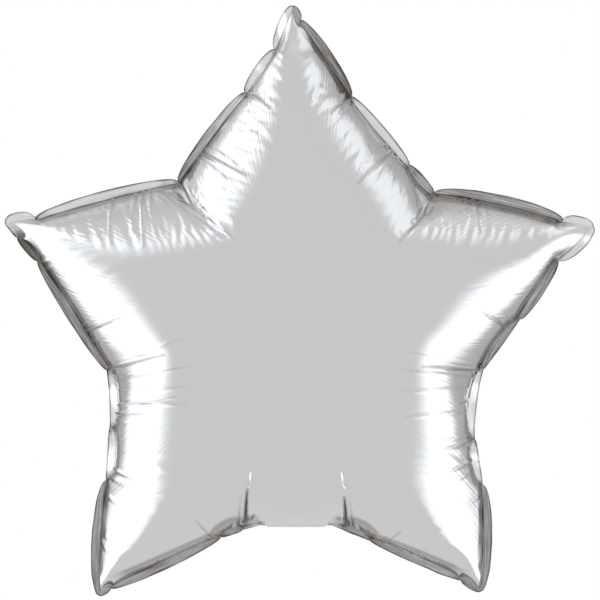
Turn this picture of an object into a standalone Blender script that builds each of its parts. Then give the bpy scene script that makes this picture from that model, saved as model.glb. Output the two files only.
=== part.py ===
"""Star foil balloon, inflated: two dished film panels, the flat welded margin between them, and the
filling neck that folds at the bottom seam. Metres, +Z up, front towards -Y, origin at the star's centre."""

import math

import bmesh
import bpy
import numpy as np

# Star outline, taken at the cut edge of the welded margin: X and Z of each corner.
TIPS = {
    "top": (-0.003, 0.249),
    "right": (0.232, 0.077),
    "lower_right": (0.144, -0.208),
    "lower_left": (-0.154, -0.211),
    "left": (-0.227, 0.080),
}
NOTCHES = {
    "upper_right": (0.108, 0.103),
    "side_right": (0.147, -0.034),
    "neck_right": (0.037, -0.160),
    "neck_left": (-0.042, -0.160),
    "side_left": (-0.148, -0.035),
    "upper_left": (-0.092, 0.112),
}

# The ten edges, clockwise from the top tip. Each runs from its tip to its notch in lobes between pinches.
# Lobe columns: where it ends along the edge (0 to 1), the end's offset out from the straight edge in mm,
# and how far the lobe swells out between its ends in mm.
EDGES = (
    ("top_right", "top", "upper_right",
     ((0.07, -1.7, 3.5), (0.46, -5.9, 6.5), (0.84, -2.2, 4.3), (1, 0, 2.6))),
    ("right_upper", "right", "upper_right", ((0.19, -0.2, 6.0), (1, 0, 9.5))),
    ("right_lower", "right", "side_right", ((0.27, -5.6, 7.5), (0.66, -1.3, 4.6), (1, 0, 0.6))),
    ("lower_right_outer", "lower_right", "side_right", ((0.48, 0, 8.5), (0.68, -6.0, 1.0), (1, 0, -2.0))),
    ("lower_right_bottom", "lower_right", "neck_right", ((0.15, -1.7, 2.5), (0.81, -0.9, 2.5), (1, 0, 0.4))),
    ("lower_left_bottom", "lower_left", "neck_left", ((0.09, -1.1, 2.0), (0.86, -2.2, 5.0), (1, 0, 1.5))),
    ("lower_left_outer", "lower_left", "side_left", ((0.51, -2.7, 8.5), (0.74, -3.9, 0.8), (1, 0, -0.8))),
    ("left_lower", "left", "side_left", ((0.11, -1.3, 1.6), (0.28, -3.7, 2.6), (1, 0, 4.4))),
    ("left_upper", "left", "upper_left", ((0.17, -2.4, 7.0), (1, 0, 7.5))),
    ("top_left", "top", "upper_left", ((0.22, -7.0, 5.5), (0.47, -5.9, 5.2), (1, 0, 6.4))),
)
LOBE_STEP = 0.015

# Film and weld. The wall stands in for film under 0.1 mm thick. The seam lies inside the cut edge by the
# inset at a pinch, and by the swell as well in the middle of a lobe.
FILM_WALL = 0.0018
MARGIN_THICKNESS = 0.0012
SEAT_GAP = 0.0003
SEAM_INSET = 0.002
SEAM_SWELL = 0.0055
MARGIN_GAP = 0.0005
END_GAP = 0.0007

# Bulge of each panel: half of the balloon's thickness, and how round the arms are against the middle.
CENTRE_DEPTH = 0.098
ARM_ROUNDNESS = 0.93
SKIRT = 0.001
RINGS = 10
CHORD_DIRECTIONS = 36
# The film folds in at the four open notches, and is fuller beside the neck: share of the depth and reach.
CREASED_NOTCHES = ("upper_right", "side_right", "side_left", "upper_left")
NOTCH_CREASE = 0.43
NOTCH_CREASE_REACH = 0.025
FOOT_FULLNESS = 0.11
FOOT_FULLNESS_REACH = 0.045

# Foot of the neck, between the two bottom margins: half its straight width, the seam above it and its edge.
FOOT_HALF = 0.026
FOOT_SEAM = -0.1535
FOOT_EDGE = -0.1558
FOOT_POINTS = 5

# Filling neck: a flat film tube that folds behind the balloon at its foot.
NECK_WIDTH = 0.034
NECK_FLARE = 0.012
NECK_FLARE_LENGTH = 0.016
PLY = 0.0006
VALVE_FILM = 0.0004
PLY_GAP = 0.0003
FOLD_RADIUS = 0.0014
SIDE_WELD = 0.004
VALVE_SIDE_GAP = 0.0005
VALVE_START = 0.010
VALVE_RECESS = 0.004
# Route up the back from the fold: length of each stretch, and how many degrees it turns up.
NECK_ROUTE = ((0.004, 0), (0.056, 38), (0.018, 0))
NECK_STEP = 0.004

# Film and weld colours, as on the photographed balloon. Edges sharper than the angle, in degrees, show.
SILVER = (0.62, 0.63, 0.64)
WELD_GREY = (0.50, 0.50, 0.51)
VALVE_CLEAR = (0.80, 0.83, 0.85)
SHARP_ANGLE = 35


def material(name, colour, roughness, metallic):
    made = bpy.data.materials.new(name)
    made.use_nodes = True
    shader = made.node_tree.nodes["Principled BSDF"]
    shader.inputs["Base Color"].default_value = (*colour, 1)
    shader.inputs["Roughness"].default_value = roughness
    shader.inputs["Metallic"].default_value = metallic
    return made


def add_object(name, points, faces, finish):
    """A mesh object with its faces turned outwards and its curved stretches shaded smooth."""
    mesh = bpy.data.meshes.new(name)
    mesh.from_pydata([tuple(point) for point in points], [], faces)
    shape = bmesh.new()
    shape.from_mesh(mesh)
    bmesh.ops.recalc_face_normals(shape, faces=shape.faces)
    shape.to_mesh(mesh)
    shape.free()
    mesh.shade_smooth()
    mesh.set_sharp_from_angle(angle=math.radians(SHARP_ANGLE))
    mesh.materials.append(finish)
    made = bpy.data.objects.new(name, mesh)
    bpy.context.scene.collection.objects.link(made)
    return made


def corner(name):
    return np.array(TIPS.get(name, NOTCHES.get(name)))


def outward(start, end):
    """Unit normal of the line from start to end, on the side away from the star's centre."""
    along = (end - start) / np.linalg.norm(end - start)
    normal = np.array([-along[1], along[0]])
    return normal if normal @ (start + end) > 0 else -normal


def normals_at(name):
    """Outward normals of the two straight edges that meet at a corner."""
    found = [outward(corner(tip), corner(notch)) for _, tip, notch, _ in EDGES if name in (tip, notch)]
    if name.startswith("neck_"):
        found.append(outward(corner("neck_left"), corner("neck_right")))
    return found


def inset_corner(name, inset):
    """The corner where both of its edges have moved in by the inset."""
    first, second = normals_at(name)
    return corner(name) - inset * (first + second) / (1 + first @ second)


def lobe_stations(lobes, length):
    """From tip to notch: place along the edge, offset, 0 to 1 across a lobe's swell, and the swell."""
    stations = [(0.0, 0.0, 0.0, 0.0)]
    start, start_offset = 0.0, 0.0
    for end, end_offset, swell in lobes:
        count = max(3, round((end - start) * length / LOBE_STEP))
        for step in range(1, count + 1):
            across = 0.5 - 0.5 * math.cos(math.pi * step / count)
            arch = math.sqrt(max(0.0, 4 * across * (1 - across)))
            place = start + (end - start) * across
            offset = start_offset + (end_offset - start_offset) * across
            stations.append((place, offset / 1000, arch, swell / 1000))
        start, start_offset = end, end_offset
    return stations


def edge_line(tip, notch, lobes, inset, seam_swell):
    """Points from tip to notch along one edge, moved in by the inset and by the margin's own lobes."""
    start, end = inset_corner(tip, inset), inset_corner(notch, inset)
    normal = outward(corner(tip), corner(notch))
    length = np.linalg.norm(corner(notch) - corner(tip))
    return np.array(
        [
            start + (end - start) * place + normal * (offset + arch * (swell - seam_swell))
            for place, offset, arch, swell in lobe_stations(lobes, length)
        ]
    )


def seam_outline():
    """The closed seam line, clockwise from the top tip."""
    points = []
    for index, (_, tip, notch, lobes) in enumerate(EDGES):
        line = edge_line(tip, notch, lobes, SEAM_INSET, SEAM_SWELL)
        if index % 2:
            line = line[::-1]
        points.extend(line[:-1])
        if notch == "neck_right":
            points.append(line[-1])
            points.extend((x, FOOT_SEAM) for x in np.linspace(FOOT_HALF, -FOOT_HALF, FOOT_POINTS))
    return np.array(points)


def reach(points, outline, angle):
    """Distance from each point to the outline along one direction."""
    starts = outline
    sides = np.roll(outline, -1, axis=0) - outline
    ray = np.array([math.cos(angle), math.sin(angle)])
    facing = ray[0] * sides[:, 1] - ray[1] * sides[:, 0]
    facing = np.where(np.abs(facing) < 1e-12, 1e-12, facing)
    away = starts[None] - points[:, None]
    along = (away[..., 0] * sides[None, :, 1] - away[..., 1] * sides[None, :, 0]) / facing
    across = (away[..., 0] * ray[1] - away[..., 1] * ray[0]) / facing
    hit = (along > 1e-9) & (across >= -1e-6) & (across <= 1 + 1e-6)
    return np.min(np.where(hit, along, np.inf), axis=1)


def chord_depth(points, outline):
    """Round on a long arm, a flat dome in the middle: depth from the chords through each point."""
    tightness = np.zeros(len(points))
    for step in range(CHORD_DIRECTIONS):
        angle = math.pi * (step + 0.5) / CHORD_DIRECTIONS
        product = reach(points, outline, angle) * reach(points, outline, angle + math.pi)
        tightness += 1 / np.clip(np.where(np.isfinite(product), product, 1e-9), 1e-9, None)
    return np.sqrt(CHORD_DIRECTIONS / tightness / 2)


def nearness(points, name, reach):
    """1 at a seam corner, falling to 0 beyond the reach."""
    distance = np.linalg.norm(points - inset_corner(name, SEAM_INSET), axis=1)
    return np.exp(-((distance / reach) ** 2))


def bulge(points, outline):
    """Depth of a panel's film from the seam plane."""
    middle = CENTRE_DEPTH / chord_depth(np.zeros((1, 2)), outline)[0]
    out = np.clip(np.linalg.norm(points, axis=1) / corner("top")[1], 0, 1)
    fullness = middle + (ARM_ROUNDNESS - middle) * out * out * (3 - 2 * out)
    for name in CREASED_NOTCHES:
        fullness *= 1 - NOTCH_CREASE * nearness(points, name, NOTCH_CREASE_REACH)
    for name in ("neck_right", "neck_left"):
        fullness *= 1 + FOOT_FULLNESS * nearness(points, name, FOOT_FULLNESS_REACH)
    return chord_depth(points, outline) * fullness


def add_panel(name, side, outline, finish):
    """A dished star: rings of points from the seam to the centre, walled inwards. side is -1 at the front."""
    count = len(outline)
    rim = SEAT_GAP / 2
    points = [(x, side * rim, z) for x, z in outline]
    points += [(x, side * (rim + SKIRT), z) for x, z in outline]
    for ring in range(1, RINGS):
        flat = outline * (1 - (ring / RINGS) ** 2)
        points += [(x, side * (rim + SKIRT + y), z) for (x, z), y in zip(flat, bulge(flat, outline))]
    points.append((0, side * (rim + SKIRT + CENTRE_DEPTH), 0))
    faces = []
    for ring in range(RINGS):
        for index in range(count):
            after = (index + 1) % count
            low, high = ring * count, (ring + 1) * count
            faces.append((low + index, low + after, high + after, high + index))
    last = RINGS * count
    faces += [(last + index, last + (index + 1) % count, last + count) for index in range(count)]
    panel = add_object(name, points, faces, finish)
    turn_outwards(panel.data, side)
    wall = panel.modifiers.new("film wall", "SOLIDIFY")
    wall.thickness = FILM_WALL
    wall.offset = -1
    return panel


def turn_outwards(mesh, side):
    """Point an open dish's faces away from the seam plane."""
    if mesh.polygons[-1].normal.y * side < 0:
        mesh.flip_normals()


def add_plate(name, inner, outer, finish):
    """A flat plate in the seam plane between two lines of points."""
    half = MARGIN_THICKNESS / 2
    points = [(x, y, z) for y in (-half, half) for line in (inner, outer) for x, z in line]
    count = len(inner)
    front_in, front_out, back_in, back_out = (np.arange(count) + row * count for row in range(4))
    faces = []
    for low, high in ((front_in, front_out), (front_out, back_out), (back_out, back_in), (back_in, front_in)):
        faces += [(low[i], low[i + 1], high[i + 1], high[i]) for i in range(count - 1)]
    faces += [(front_in[i], front_out[i], back_out[i], back_in[i]) for i in (0, -1)]
    return add_object(name, points, [tuple(int(i) for i in face) for face in faces], finish)


def add_margin(name, tip, notch, lobes, finish):
    """One edge's welded margin: from outside the seam to the cut edge, clear of the next at both ends."""
    along = corner(notch) - corner(tip)
    along /= np.linalg.norm(along)
    inner = edge_line(tip, notch, lobes, SEAM_INSET, SEAM_SWELL)
    inner += outward(corner(tip), corner(notch)) * MARGIN_GAP
    outer = edge_line(tip, notch, lobes, 0, 0)
    for line in (inner, outer):
        line[0] += along * END_GAP
        line[-1] -= along * END_GAP
    return add_plate(f"margin_{name}", inner, outer, finish)


def add_neck_root(finish):
    """The weld across the neck's foot, between the two bottom margins."""
    left, right = inset_corner("neck_left", SEAM_INSET), inset_corner("neck_right", SEAM_INSET)
    inner = [left, (-FOOT_HALF, FOOT_SEAM), (FOOT_HALF, FOOT_SEAM), right]
    outer = [corner("neck_left"), (-FOOT_HALF, FOOT_EDGE), (FOOT_HALF, FOOT_EDGE), corner("neck_right")]
    inner, outer = np.array(inner), np.array(outer)
    inner[:, 1] -= MARGIN_GAP
    for line in (inner, outer):
        line[0, 0] += END_GAP
        line[-1, 0] -= END_GAP
    return add_plate("neck_root", inner, outer, finish)


def fold_height():
    return FOOT_EDGE - SEAT_GAP - FOLD_RADIUS


def neck_stations():
    """(distance from the fold, Y, Z, direction in radians up from +Y) along the neck's middle."""
    y, z, angle, distance = 0.0, fold_height(), 0.0, 0.0
    stations = [(distance, y, z, angle)]
    for length, turn in NECK_ROUTE:
        count = max(1, round(length / NECK_STEP)) if turn else 1
        for _ in range(count):
            step = length / count
            middle = angle + math.radians(turn) / count / 2
            y += step * math.cos(middle)
            z += step * math.sin(middle)
            angle += math.radians(turn) / count
            distance += step
            stations.append((distance, y, z, angle))
    return stations


def neck_width(distance):
    flare = max(0.0, 1 - distance / NECK_FLARE_LENGTH)
    return NECK_WIDTH + NECK_FLARE * flare * flare


def section(station, half_width, half_height):
    """Four corners of a flat section across the neck, in order round it."""
    _, y, z, angle = station
    up_y, up_z = -math.sin(angle), math.cos(angle)
    return [
        (x, y + up_y * lift, z + up_z * lift)
        for x, lift in (
            (-half_width, -half_height),
            (half_width, -half_height),
            (half_width, half_height),
            (-half_width, half_height),
        )
    ]


def joined_sections(start, stop, count):
    """Quads between four-cornered sections, from the one numbered start, count sections in all."""
    faces = []
    for row in range(count):
        first, second = start + 4 * row, stop + 4 * row
        for side in range(4):
            after = (side + 1) % 4
            faces.append((first + side, first + after, second + after, second + side))
    return faces


def add_neck_sleeve(finish):
    """A flat tube of two film plies welded down both sides, open at the fold and at the mouth."""
    stations = neck_stations()
    half_slot = VALVE_FILM / 2 + PLY_GAP
    outer = [section(s, neck_width(s[0]) / 2, half_slot + PLY) for s in stations]
    inner = [section(s, neck_width(s[0]) / 2 - SIDE_WELD, half_slot) for s in stations]
    points = [point for ring in outer + inner for point in ring]
    count = len(stations)
    hole = 4 * count
    faces = joined_sections(0, 4, count - 1) + joined_sections(hole, hole + 4, count - 1)
    for first in (0, 4 * (count - 1)):
        faces += [
            (first + side, first + (side + 1) % 4, hole + first + (side + 1) % 4, hole + first + side)
            for side in range(4)
        ]
    return add_object("neck_sleeve", points, faces, finish)


def add_valve_strip(finish):
    """Clear self-sealing film between the neck's plies, ending just inside the mouth."""
    stations = neck_stations()
    stop = stations[-1][0] - VALVE_RECESS
    marks = [VALVE_START, *(s[0] for s in stations if VALVE_START < s[0] < stop), stop]
    table = np.array(stations)
    points = []
    for mark in marks:
        station = [mark, *(np.interp(mark, table[:, 0], table[:, column]) for column in (1, 2, 3))]
        half_width = neck_width(mark) / 2 - SIDE_WELD - VALVE_SIDE_GAP
        points += section(station, half_width, VALVE_FILM / 2)
    count = len(marks)
    last = 4 * (count - 1)
    faces = joined_sections(0, 4, count - 1) + [(0, 1, 2, 3), (last, last + 1, last + 2, last + 3)]
    return add_object("valve_strip", points, faces, finish)


for old in list(bpy.data.objects):
    bpy.data.objects.remove(old, do_unlink=True)

foil = material("silver film", SILVER, 0.18, 1)
weld = material("welded film", WELD_GREY, 0.35, 1)
clear_film = material("clear valve film", VALVE_CLEAR, 0.25, 0)

seam = seam_outline()
add_panel("front_panel", -1, seam, foil)
add_panel("back_panel", 1, seam, foil)
for edge_name, edge_tip, edge_notch, edge_lobes in EDGES:
    add_margin(edge_name, edge_tip, edge_notch, edge_lobes, weld)
add_neck_root(weld)

# The neck turns on the fold line across the bottom of the seam.
neck_fold = bpy.data.objects.new("neck_fold", None)
neck_fold.location = (0, 0, fold_height())
bpy.context.scene.collection.objects.link(neck_fold)
for piece in (add_neck_sleeve(foil), add_valve_strip(clear_film)):
    piece.data.transform(neck_fold.matrix_basis.inverted())
    piece.parent = neck_fold
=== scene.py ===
"""Silver star foil balloon, filled: two films heat sealed round the edge, the crimped margin outside
the seal, and the filling neck with its clear valve tucked up behind. Metres, +Z up, front towards -Y."""

import math

import bmesh
import bpy
import numpy as np
from mathutils.kdtree import KDTree
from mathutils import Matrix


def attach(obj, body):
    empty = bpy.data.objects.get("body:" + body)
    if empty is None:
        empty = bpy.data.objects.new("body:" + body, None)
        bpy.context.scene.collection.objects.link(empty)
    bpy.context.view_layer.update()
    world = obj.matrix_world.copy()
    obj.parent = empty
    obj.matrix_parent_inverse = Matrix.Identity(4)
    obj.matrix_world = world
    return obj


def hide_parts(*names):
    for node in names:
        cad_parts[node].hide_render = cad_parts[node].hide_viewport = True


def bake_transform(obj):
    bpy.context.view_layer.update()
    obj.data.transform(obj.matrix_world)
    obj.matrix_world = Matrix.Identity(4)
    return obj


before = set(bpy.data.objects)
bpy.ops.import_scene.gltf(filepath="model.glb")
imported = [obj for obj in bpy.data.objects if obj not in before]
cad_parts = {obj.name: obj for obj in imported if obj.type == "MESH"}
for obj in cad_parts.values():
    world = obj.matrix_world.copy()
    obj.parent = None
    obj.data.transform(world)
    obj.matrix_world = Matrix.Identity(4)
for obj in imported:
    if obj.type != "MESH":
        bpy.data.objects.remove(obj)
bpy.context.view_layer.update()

# The view. A long lens straight in front of the balloon, a little above its middle, so that the star's
# own plane fills the picture from edge to edge as it does in the photograph.
PHOTO_SIDE_PX = 600
METRES_PER_PX = 0.00078
STAR_CENTRE_PX = (296, 325)
CAMERA_DISTANCE = 1.6
SENSOR_MM = 36


def placed(name, data):
    """A new object in the scene with this camera or mesh."""
    made = bpy.data.objects.new(name, data)
    bpy.context.scene.collection.objects.link(made)
    return made


camera_data = bpy.data.cameras.new("front_view")
camera_data.sensor_width = SENSOR_MM
camera_data.lens = SENSOR_MM * CAMERA_DISTANCE / (PHOTO_SIDE_PX * METRES_PER_PX)
camera = placed("front_view", camera_data)
camera.location = (
    (PHOTO_SIDE_PX / 2 - STAR_CENTRE_PX[0]) * METRES_PER_PX,
    -CAMERA_DISTANCE,
    (STAR_CENTRE_PX[1] - PHOTO_SIDE_PX / 2) * METRES_PER_PX,
)
camera.rotation_euler = (math.radians(90), 0, 0)
bpy.context.scene.camera = camera

# The heat seal. A hot bar welds the two films together along the star's outline, and the filling gas
# then pulls the seam in unevenly: it runs in shallow lobes between pinches. Outside it the flat weld
# margin is left, widest in the middle of a lobe. X and Z of the corners are at the margin's cut edge.
CORNERS = {
    "top": (-0.003, 0.249),
    "upper_right": (0.108, 0.103),
    "right": (0.232, 0.077),
    "side_right": (0.147, -0.034),
    "lower_right": (0.144, -0.208),
    "neck_right": (0.037, -0.160),
    "neck_left": (-0.042, -0.160),
    "lower_left": (-0.154, -0.211),
    "side_left": (-0.148, -0.035),
    "left": (-0.227, 0.080),
    "upper_left": (-0.092, 0.112),
}
# Each edge from its tip to its notch, clockwise from the top. Lobe columns: where it ends along the edge
# (0 to 1), the end's offset out from the straight edge and the lobe's swell beyond that, both in mm.
EDGES = (
    ("top", "upper_right", ((0.07, -1.7, 3.5), (0.46, -5.9, 6.5), (0.84, -2.2, 4.3), (1, 0, 2.6))),
    ("right", "upper_right", ((0.19, -0.2, 6.0), (1, 0, 9.5))),
    ("right", "side_right", ((0.27, -5.6, 7.5), (0.66, -1.3, 4.6), (1, 0, 0.6))),
    ("lower_right", "side_right", ((0.48, 0, 8.5), (0.68, -6.0, 1.0), (1, 0, -2.0))),
    ("lower_right", "neck_right", ((0.15, -1.7, 2.5), (0.81, -0.9, 2.5), (1, 0, 0.4))),
    ("lower_left", "neck_left", ((0.09, -1.1, 2.0), (0.86, -2.2, 5.0), (1, 0, 1.5))),
    ("lower_left", "side_left", ((0.51, -2.7, 8.5), (0.74, -3.9, 0.8), (1, 0, -0.8))),
    ("left", "side_left", ((0.11, -1.3, 1.6), (0.28, -3.7, 2.6), (1, 0, 4.4))),
    ("left", "upper_left", ((0.17, -2.4, 7.0), (1, 0, 7.5))),
    ("top", "upper_left", ((0.22, -7.0, 5.5), (0.47, -5.9, 5.2), (1, 0, 6.4))),
)
TIPS = {edge[0] for edge in EDGES}
# How far inside the cut edge the seam lies at a pinch, and how much further in the middle of a lobe.
SEAM_INSET, SEAM_SWELL = 0.002, 0.0055
# The neck's foot: half its width, and the height of its seam and of its cut edge.
FOOT_HALF, FOOT_SEAM, FOOT_EDGE = 0.026, -0.1535, -0.1558
PLACES_PER_LOBE = 60


def corner(name):
    return np.array(CORNERS[name])


def outward(start, end):
    """Unit normal of the line from start to end, away from the star's centre."""
    along = (end - start) / np.linalg.norm(end - start)
    normal = np.array([-along[1], along[0]])
    return normal if normal @ (start + end) > 0 else -normal


def inset_corner(name, inset):
    """The corner where both of its edges have moved in by the inset."""
    normals = [outward(corner(tip), corner(notch)) for tip, notch, _ in EDGES if name in (tip, notch)]
    if name.startswith("neck"):
        normals.append(outward(corner("neck_left"), corner("neck_right")))
    return corner(name) - inset * (normals[0] + normals[1]) / (1 + normals[0] @ normals[1])


def edge_places(lobes, per_lobe=PLACES_PER_LOBE):
    """Places from 0 at the tip to 1 at the notch, closest together where two lobes meet."""
    places = [0.0]
    for end, _, _ in lobes:
        start = places[-1]
        turns = np.linspace(0, math.pi, per_lobe + 1)[1:]
        places.extend(start + (end - start) * (0.5 - 0.5 * np.cos(turns)))
    return np.array(places)


def lobe_shares(lobes, places):
    """Where the lobes end, in which lobe each place is, and how far along it (0 to 1)."""
    ends = np.array([0.0, *(lobe[0] for lobe in lobes)])
    index = np.clip(np.searchsorted(ends, places, side="right") - 1, 0, len(lobes) - 1)
    return ends, index, (places - ends[index]) / (ends[index + 1] - ends[index])


def edge_line(tip, notch, lobes, places, inset, seam_swell):
    """Points of the seam or of the cut edge at these places from tip to notch."""
    ends, index, across = lobe_shares(lobes, places)
    offsets = np.array([0.0, *(lobe[1] for lobe in lobes)]) / 1000
    swells = np.array([lobe[2] for lobe in lobes]) / 1000
    arch = np.sqrt(np.clip(4 * across * (1 - across), 0, 1))
    start, end = inset_corner(tip, inset), inset_corner(notch, inset)
    shift = np.interp(places, ends, offsets) + arch * (swells[index] - seam_swell)
    return start + places[:, None] * (end - start) + shift[:, None] * outward(corner(tip), corner(notch))


def distances(line):
    """Distance run along a line of points."""
    return np.concatenate([[0.0], np.cumsum(np.linalg.norm(np.diff(line, axis=0), axis=1))])


# The front and back films. Two equal stars of metallised nylon are cut flat and welded edge to edge. They
# hardly stretch, so when gas fills them the outline shrinks by a tenth and the edge gathers in puckers.
# They are inflated here from their flat cut: a net of stiff links under pressure, held at the seam.

# The flat cut's tips and notches against the seam's, and half the width of its foot.
FLAT_TIP, FLAT_NOTCH = 1.11, 1.34
FLAT_FOOT_HALF = 0.028
# The film that a pinch gathers, at the foot as well, and the gap that it is drawn into.
PINCH_FILM, FOOT_PINCH_FILM = 0.0045, 0.006
PINCH_GAP = 0.0003
# The valley that each fold starts from, and the noise that the puckers start from.
VALLEY_DEPTH, VALLEY_WIDTH, VALLEY_LENGTH = 0.0025, 0.003, 0.020
NOISE = 0.0005
# Spare film along the seam, and how far in it reaches.
GATHER, GATHER_DEPTH = 0.05, 0.020
# From the centre to a tip, as the scale for both, and how deep the dome is that the inflation starts from.
STAR_DEPTH_SCALE, START_DEPTH = 0.2, 0.09
# How much of the coarse film's sliding along the seam the fine one keeps.
SLIDE_SHARE = 0.3
PRESSURE, STIFFNESS_AGAINST_BENDING = 0.04, 0.004
TIME_STEP, DAMPING = 0.4, 0.985
# Links from the centre to a tip and steps of the simulation, for each stage.
COARSE_STAGES, FINE_STAGE = ((16, 2600), (32, 1200), (64, 400)), (128, 400)
# Stiffness of a link that is pressed together, against 1 when it is pulled. Film that gives way settles
# calm, and film that resists puckers; the finished film is calm with a share of the puckers.
CALM_STIFFNESS, PUCKERED_STIFFNESS = 0.1, 0.6
PUCKERS_AT_SEAM, PUCKERS_INSIDE = 0.04, 0.5
PUCKERS_GROW = (0.009, 0.024)
LEAST_PUCKERS = 0.3
SEAM_TO_CENTRE = 0.090
FRONT_SEED, BACK_SEED = 133, 211
# Rounds of easing over the whole film, and round the tips and side notches, which gas pressure rounds
# out: how far from each the film is fully eased, and from where it is left alone.
EASING_ROUNDS, CALM_ROUNDS, EASING_STEP = 40, 110, 0.5
CALM_TIP, CALM_NOTCH = (0.020, 0.042), (0.055, 0.085)
CALM_PLACES = {
    "top": CALM_TIP, "right": CALM_TIP, "lower_right": CALM_TIP, "lower_left": CALM_TIP, "left": CALM_TIP,
    "side_right": CALM_NOTCH, "side_left": CALM_NOTCH,
}
# Ripples that stand across the seam: wavelength, depth and place of each, and how strong they and the
# puckers are on each edge of the table above. They grow and fade at these distances in from the seam.
SEAM_RIPPLES = ((0.0095, 0.00012, 0.6), (0.0068, 0.00008, 2.9), (0.0131, 0.00012, 4.4))
RIPPLE_SHARES = (1.2, 1.3, 0.3, 0.4, 0.15, 0.15, 0.5, 0.45, 1.1, 1.2)
RIPPLES_GROW, RIPPLES_FADE = (0.004, 0.012), (0.030, 0.046)
RIPPLES_END_BEFORE = 0.010
# What lies below this height is beside the foot, where the front film comes down over the weld.
FOOT_HEIGHT = -0.1
FOOT_DROP, FOOT_DROP_REACH, FOOT_DROP_FORWARD = 0.0027, 0.030, 0.0007
FOOT_DROP_ENDS = (FOOT_HALF * 0.85, FOOT_HALF * 1.3)
# Folds that run in from the seam at its pinches and notches: X and Z of the outer and inner end, and how
# deep the valley is at its outer end, all in mm. Below zero it is a ridge.
FOLDS = (
    (-17, 214, -8, 205, 1.0), (-40, 182, -19, 163, 1.6), (-38, 186, -26, 181, 0.9),
    (-44, 179, -30, 165, 0.8), (-73, 133, -37, 111, 1.4), (-76, 130, -50, 108, 0.9),
    (-69, 137, -46, 124, 0.8), (-92, 112, -75, 86, 1.6), (-75, 86, -44, 64, 1.0),
    (-143, 98, -140, 58, 0.8), (-119, 104, -114, 58, 1.0), (-125, 102, -123, 66, 0.6),
    (-114, 105, -104, 62, 0.6), (-202, 49, -186, 50, 1.1), (-197, 43, -181, 49, 0.8),
    (-207, 85, -193, 79, 0.7), (-163, -4, -129, 7, 1.4), (-165, 0, -144, 11, 0.8),
    (-158, -12, -139, -5, 0.7), (-147, -34, -97, -21, 1.7), (-147, -38, -114, -37, 0.8),
    (-140, -68, -114, -66, 1.5), (-140, -62, -87, -52, 1.0), (-139, -73, -119, -75, 0.7),
    (-141, -111, -122, -117, 1.1), (-141, -119, -125, -124, 0.8), (-144, -133, -133, -140, 0.7),
    (-151, -168, -142, -181, 0.8), (-63, -163, -76, -146, 1.3), (-39, -145, -36, -121, 2.5),
    (-43, -161, -39, -145, 1.2), (-36, -119, -34, -103, -1.6), (39, -148, 36, -127, 2.5),
    (42, -162, 39, -147, 1.2), (37, -119, 34, -103, -1.4), (67, -168, 80, -156, 1.3),
    (89, -177, 102, -171, 0.8), (129, -200, 126, -190, 0.8), (145, -35, 93, -30, 1.7),
    (137, -58, 119, -60, 1.1), (135, -90, 111, -93, 1.4), (133, -85, 100, -87, 0.8),
    (134, -96, 122, -98, 0.7), (134, -105, 112, -112, 1.1), (134, -113, 119, -119, 0.8),
    (140, -134, 129, -139, 0.7), (165, -2, 137, 12, 1.4), (168, 3, 149, 15, 0.8), (204, 51, 193, 55, 1.0),
    (207, 83, 201, 73, 1.0), (200, 85, 197, 76, 0.6), (138, 100, 140, 71, 1.1), (144, 98, 149, 66, 0.7),
    (132, 101, 129, 77, 0.6), (108, 105, 95, 80, 1.6), (95, 80, 75, 61, 1.0), (105, 100, 87, 80, 0.7),
    (44, 178, 27, 161, 1.6), (48, 176, 34, 156, 0.8), (42, 183, 29, 173, 0.8), (75, 135, 45, 105, 1.3),
    (70, 140, 51, 125, 0.8), (79, 130, 59, 107, 0.8), (-130, -41, -76, -28, 0.85),
    (-127, -50, -75, -44, 0.7), (-124, -57, -78, -58, 0.8), (-134, -28, -84, -9, 0.7),
    (132, -39, 78, -32, 0.85), (127, -48, 78, -48, 0.65), (122, -66, 80, -67, 0.7),
    (134, -31, 82, -18, 0.7), (-46, -156, -41, -128, 1.0), (46, -157, 40, -130, 1.0),
)
FOLD_HALF_WIDTH = 0.0014
FOLD_SHOULDER, FOLD_SHOULDER_AT = 0.35, 1.9
FOLD_STARTS_WITHIN = 0.002
# It fades in over this share of its length outside its outer end, and tapers off inwards by this power.
FOLD_LEAD, FOLD_TAPER = 0.35, 0.8
# The painted shade line along a fold's valley, where shade falls: its width, at least and for each mm of
# depth more, how deep a fold (in mm) has it in full, by which power it is weaker where the fold is shallower,
# and by which it tapers off.
FOLD_SHADE_WIDTH, FOLD_SHADE_GROWTH = 0.0005, 0.00022
FOLD_SHADE_FULL, FOLD_SHADE_POWER, FOLD_SHADE_TAPER = 2, 1.5, 0.4
# The mesh is twice as fine this far beside a fold that is deep enough (in mm), and from this share of its
# length outside its outer end.
FOLD_FINE_WIDTH, FOLD_FINE_FROM, FOLD_FINE_LEAD = 0.0019, 1.0, 0.1
# The corners between the net's ten wedges, clockwise from the top.
WEDGE_CORNERS = (
    "top", "upper_right", "right", "side_right", "lower_right",
    "foot", "lower_left", "side_left", "left", "upper_left",
)
WEDGES = len(WEDGE_CORNERS)


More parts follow.
